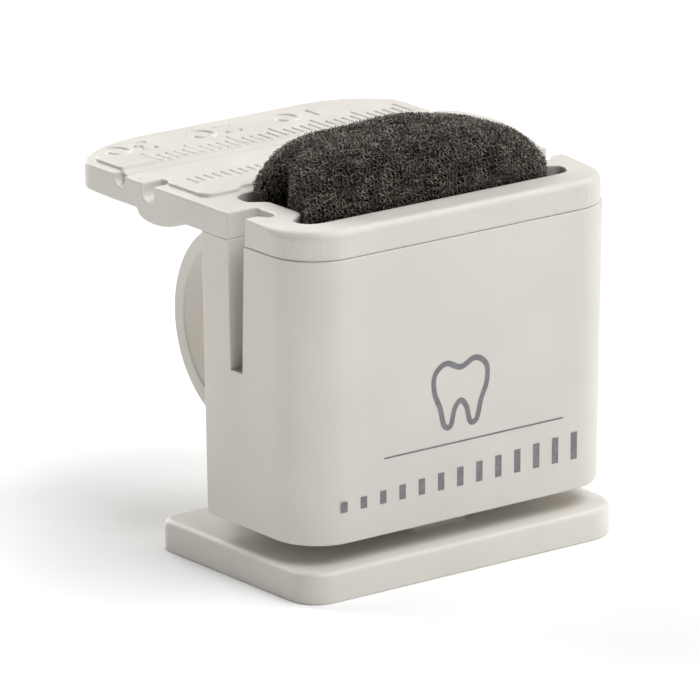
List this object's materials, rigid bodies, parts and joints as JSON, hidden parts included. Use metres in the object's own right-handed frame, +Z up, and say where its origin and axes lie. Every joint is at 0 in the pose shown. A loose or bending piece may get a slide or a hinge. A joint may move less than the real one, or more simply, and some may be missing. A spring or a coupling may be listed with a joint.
{
  "type": "endodontic file holder",
  "caption": "Finger-worn dental file holder: moulded cup with a domed foam insert, millimetre ruler table, finger ring and flat foot plate.",
  "frame": {"origin": "middle of the foot plate's underside, which is where the holder stands", "axes": "+Z up; +X along the ruler and the long side of the cup; +Y from the printed front towards the ruler table and the finger ring"},
  "size_m": [0.038, 0.0399, 0.0405],
  "materials": {
    "white_plastic": "satin moulded",
    "dark_foam": "open-cell reticulated foam"
  },
  "bodies": {
    "holder": {"housing": "white_plastic", "top_frame": "white_plastic", "finger_ring": "white_plastic", "foot_plate": "white_plastic"},
    "foam": {"foam_insert": "dark_foam"}
  },
  "joints": [
    {"name": "foam_lift", "type": "slide", "parent": "holder", "child": "foam", "axis": [0, 0, 1], "range_m": [0, 0.032]}
  ]
}
